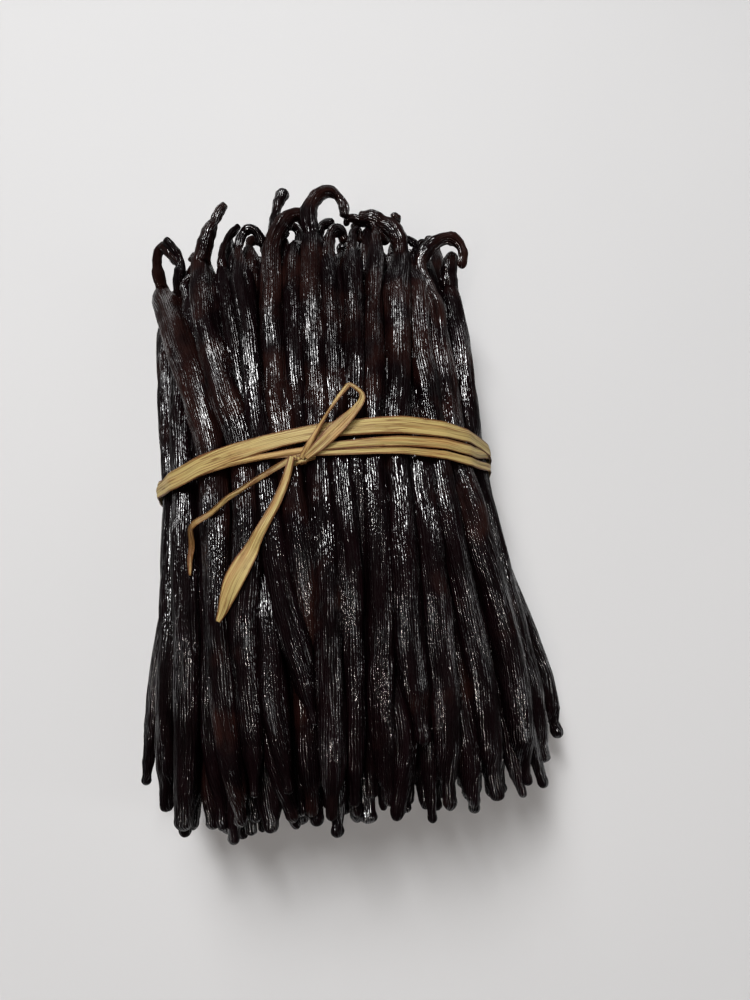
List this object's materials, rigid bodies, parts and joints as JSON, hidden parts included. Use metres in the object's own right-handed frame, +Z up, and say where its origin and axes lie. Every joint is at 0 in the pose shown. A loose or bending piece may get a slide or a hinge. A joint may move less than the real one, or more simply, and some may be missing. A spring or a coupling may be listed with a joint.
{
  "type": "bundle of vanilla pods",
  "caption": "Bundle of dark cured vanilla pods lying flat, hooked stem ends all one way, tied round the middle with a strip of raffia in a one-loop bow.",
  "frame": {"origin": "under the middle of the bundle's box, on the surface that it lies on", "axes": "+Y along the pods towards their hooked stem ends, +Z up out of the surface, +X across the bundle"},
  "size_m": [0.1106, 0.1672, 0.0606],
  "materials": {
    "cured_pod": "oily near-black brown pod skin with fine lengthwise wrinkles, glossy on the ridges",
    "raffia": "flat dry palm-leaf strip, tan, with fine lengthwise fibres and darker edges"
  },
  "bodies": {
    "root": {"pod_bundle": "cured_pod", "raffia_tie": "raffia"}
  },
  "joints": []
}
